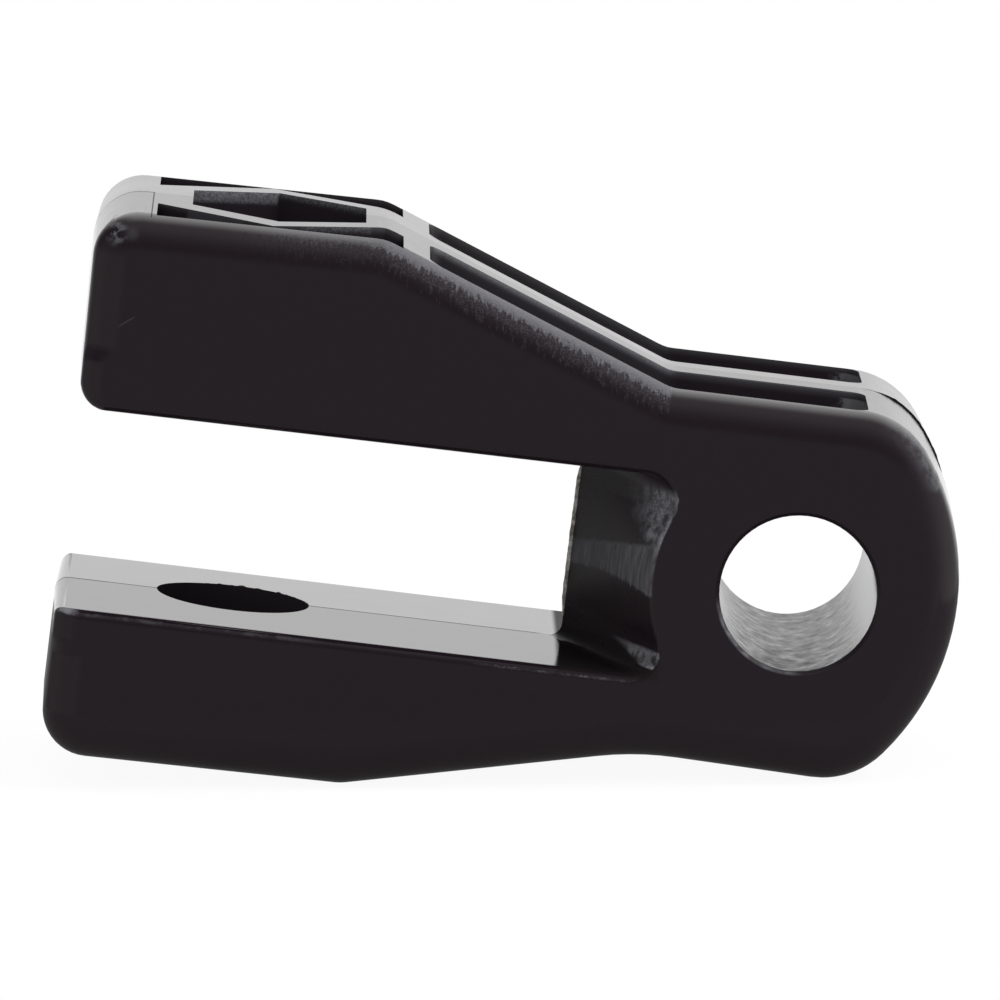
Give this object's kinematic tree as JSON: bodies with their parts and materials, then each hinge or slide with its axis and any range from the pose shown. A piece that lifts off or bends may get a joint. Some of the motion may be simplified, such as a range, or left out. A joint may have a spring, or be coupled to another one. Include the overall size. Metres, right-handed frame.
{
  "type": "rear mounting bracket",
  "caption": "Moulded plastic clevis bracket: forked arms with a bore through both, joined by a sloping back to a rounded lobe with a cross bore, and cored from above.",
  "frame": {"origin": "middle of the cross bore, on the parting plane of the moulding", "axes": "+X along the bracket from the fork to the lobe, +Y along the cross bore, +Z along the fork bore from the lower arm to the upper arm"},
  "size_m": [0.0718, 0.029, 0.0444],
  "materials": {
    "moulded_plastic": "black glass-filled plastic, satin on the faces and frosted on the rounded rims"
  },
  "bodies": {
    "root": {"bracket_body": "moulded_plastic"}
  },
  "joints": []
}
